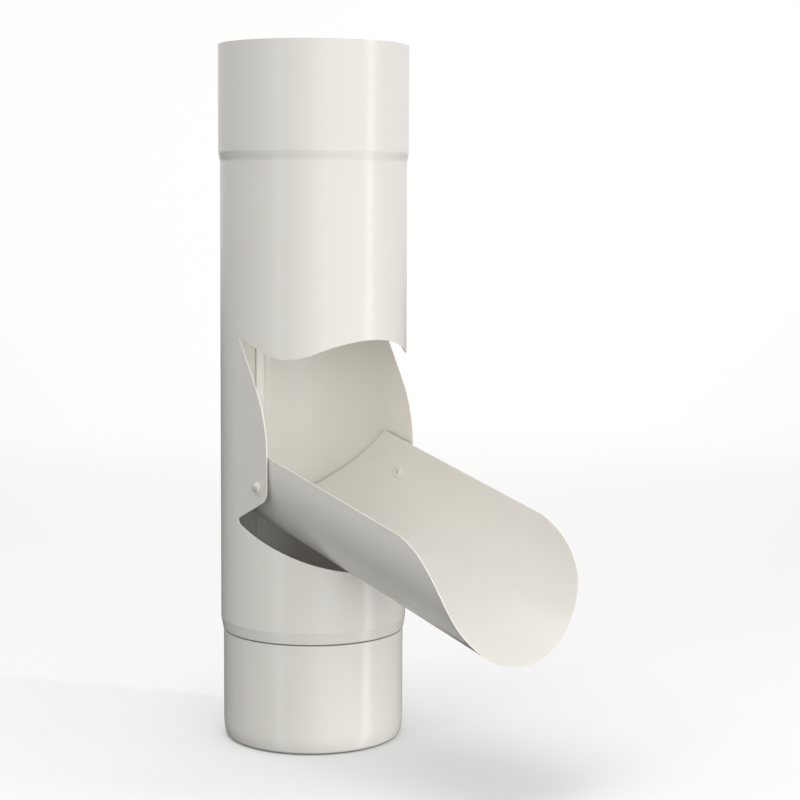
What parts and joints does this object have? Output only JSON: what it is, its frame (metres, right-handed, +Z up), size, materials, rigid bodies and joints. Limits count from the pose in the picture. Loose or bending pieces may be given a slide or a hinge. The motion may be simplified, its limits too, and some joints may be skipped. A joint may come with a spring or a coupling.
{
  "type": "downpipe diverter",
  "caption": "Round sheet-metal downpipe diverter: socket above, spigot below, and a half-round trough that swings out through a window in the front of the pipe.",
  "frame": {"origin": "on the pipe's axis at the lower rim of the spigot", "axes": "+Z up along the pipe's axis, towards the socket; -Y towards the trough's outlet; +X along the line through the two rivets"},
  "size_m": [0.104, 0.216, 0.371],
  "materials": {
    "painted_steel": "satin",
    "rivet": "satin",
    "mandrel": "satin",
    "spacer": "matt"
  },
  "bodies": {
    "housing": {"pipe_body": "painted_steel", "spigot_sleeve": "painted_steel"},
    "flap": {"flap_trough": "painted_steel", "rivet_right": "rivet", "rivet_left": "rivet", "mandrel_right": "mandrel", "mandrel_left": "mandrel", "spacer_right": "spacer", "spacer_left": "spacer"}
  },
  "joints": [
    {"name": "flap_pivot", "type": "hinge", "parent": "housing", "child": "flap", "pos_m": [0, -0.0168, 0.1403], "axis": [-1, 0, 0], "range_deg": [0, 88]}
  ]
}
